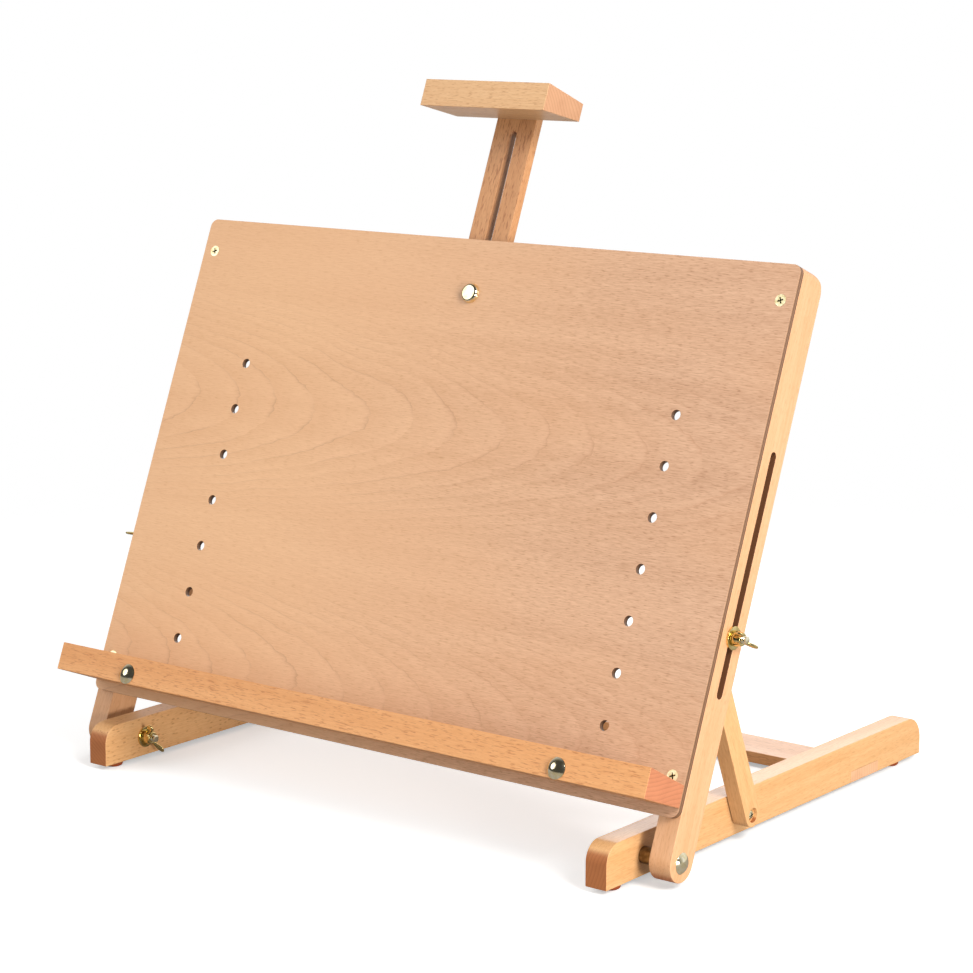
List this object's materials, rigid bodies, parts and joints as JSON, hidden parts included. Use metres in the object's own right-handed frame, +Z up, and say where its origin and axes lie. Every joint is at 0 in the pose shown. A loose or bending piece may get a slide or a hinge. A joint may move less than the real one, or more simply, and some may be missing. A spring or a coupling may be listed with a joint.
{
  "type": "portable drawing board",
  "caption": "Tabletop drawing-board easel: plywood board on slotted side rails, hinged on a low base, propped by struts, with a ledge and a sliding mast with a top block.",
  "frame": {"origin": "middle of the footprint, on the surface that the feet stand on", "axes": "+X to the right seen from the front, -Y towards the person who draws, +Z up"},
  "size_m": [0.6312, 0.4642, 0.5726],
  "materials": {
    "beech": "clear satin varnish",
    "plywood": "clear satin varnish",
    "zinc_brass": "yellow zinc plated, bright",
    "bright_bolt": "polished",
    "foot": "matt"
  },
  "bodies": {
    "base": {"left_base_leg": "beech", "right_base_leg": "beech", "rear_crossbar": "beech", "crossbar_screws": "zinc_brass", "feet": "foot", "pivot_spacers": "zinc_brass", "pivot_washers": "zinc_brass", "strut_screws": "zinc_brass", "strut_washers": "zinc_brass"},
    "board": {"drawing_board": "plywood", "left_side_rail": "beech", "right_side_rail": "beech", "corner_screws": "zinc_brass", "pivot_bolts": "bright_bolt", "ledge": "beech", "ledge_bolts": "bright_bolt", "ledge_washers": "zinc_brass", "left_mast_guide": "beech", "right_mast_guide": "beech", "guide_bridge": "beech", "bridge_screws": "zinc_brass", "clamp_bolt": "bright_bolt", "clamp_washer": "zinc_brass"},
    "mast": {"mast": "beech", "top_block": "beech", "block_screws": "zinc_brass"},
    "left_slot_bolt": {"left_slot_bolt": "bright_bolt", "left_slot_washer": "zinc_brass"},
    "left_strut": {"left_strut": "beech", "left_strut_bolt": "bright_bolt"},
    "right_slot_bolt": {"right_slot_bolt": "bright_bolt", "right_slot_washer": "zinc_brass"},
    "right_strut": {"right_strut": "beech", "right_strut_bolt": "bright_bolt"},
    "left_pivot_nut": {"left_pivot_nut": "zinc_brass"},
    "left_slot_nut": {"left_slot_nut": "zinc_brass"},
    "left_ledge_nut": {"left_ledge_nut": "zinc_brass"},
    "right_pivot_nut": {"right_pivot_nut": "zinc_brass"},
    "right_slot_nut": {"right_slot_nut": "zinc_brass"},
    "right_ledge_nut": {"right_ledge_nut": "zinc_brass"},
    "clamp_nut": {"clamp_nut": "zinc_brass"}
  },
  "joints": [
    {"name": "board_tilt", "type": "hinge", "parent": "base", "child": "board", "pos_m": [0, -0.18124, 0.0202], "axis": [1, 0, 0], "range_deg": [-62.5, 9]},
    {"name": "mast_slide", "type": "slide", "parent": "board", "child": "mast", "axis": [0, 0.3714, 0.9285], "range_m": [-0.103, 0.2]},
    {"name": "left_slot_slide", "type": "slide", "parent": "board", "child": "left_slot_bolt", "axis": [0, 0.3714, 0.9285], "range_m": [-0.0185, 0.1265]},
    {"name": "left_strut_swing", "type": "hinge", "parent": "base", "child": "left_strut", "pos_m": [-0.2737, -0.05393, 0.0215], "axis": [1, 0, 0], "range_deg": [-102, 15]},
    {"name": "right_slot_slide", "type": "slide", "parent": "board", "child": "right_slot_bolt", "axis": [0, 0.3714, 0.9285], "range_m": [-0.0185, 0.1265]},
    {"name": "right_strut_swing", "type": "hinge", "parent": "base", "child": "right_strut", "pos_m": [0.2737, -0.05393, 0.0215], "axis": [1, 0, 0], "range_deg": [-102, 15]},
    {"name": "left_pivot_nut_turn", "type": "hinge", "parent": "base", "child": "left_pivot_nut", "pos_m": [-0.245, -0.18124, 0.0202], "axis": [1, 0, 0], "continuous": true},
    {"name": "left_slot_nut_turn", "type": "hinge", "parent": "left_slot_bolt", "child": "left_slot_nut", "pos_m": [-0.302, -0.11847, 0.17711], "axis": [-1, 0, 0], "continuous": true},
    {"name": "left_ledge_nut_turn", "type": "hinge", "parent": "board", "child": "left_ledge_nut", "pos_m": [-0.22, -0.17344, 0.06662], "axis": [0, 0.9285, -0.3714], "continuous": true},
    {"name": "right_pivot_nut_turn", "type": "hinge", "parent": "base", "child": "right_pivot_nut", "pos_m": [0.245, -0.18124, 0.0202], "axis": [-1, 0, 0], "continuous": true},
    {"name": "right_slot_nut_turn", "type": "hinge", "parent": "right_slot_bolt", "child": "right_slot_nut", "pos_m": [0.302, -0.11847, 0.17711], "axis": [1, 0, 0], "continuous": true},
    {"name": "right_ledge_nut_turn", "type": "hinge", "parent": "board", "child": "right_ledge_nut", "pos_m": [0.22, -0.17344, 0.06662], "axis": [0, 0.9285, -0.3714], "continuous": true},
    {"name": "clamp_nut_turn", "type": "hinge", "parent": "board", "child": "clamp_nut", "pos_m": [0, -0.02897, 0.39549], "axis": [0, 0.9285, -0.3714], "continuous": true}
  ],
  "couplings": [
    {"joint": "left_slot_slide", "follows": "board_tilt", "m_per_rad": -0.1154},
    {"joint": "left_strut_swing", "follows": "board_tilt", "ratio": 1.63},
    {"joint": "right_slot_slide", "follows": "board_tilt", "m_per_rad": -0.1154},
    {"joint": "right_strut_swing", "follows": "board_tilt", "ratio": 1.63}
  ]
}
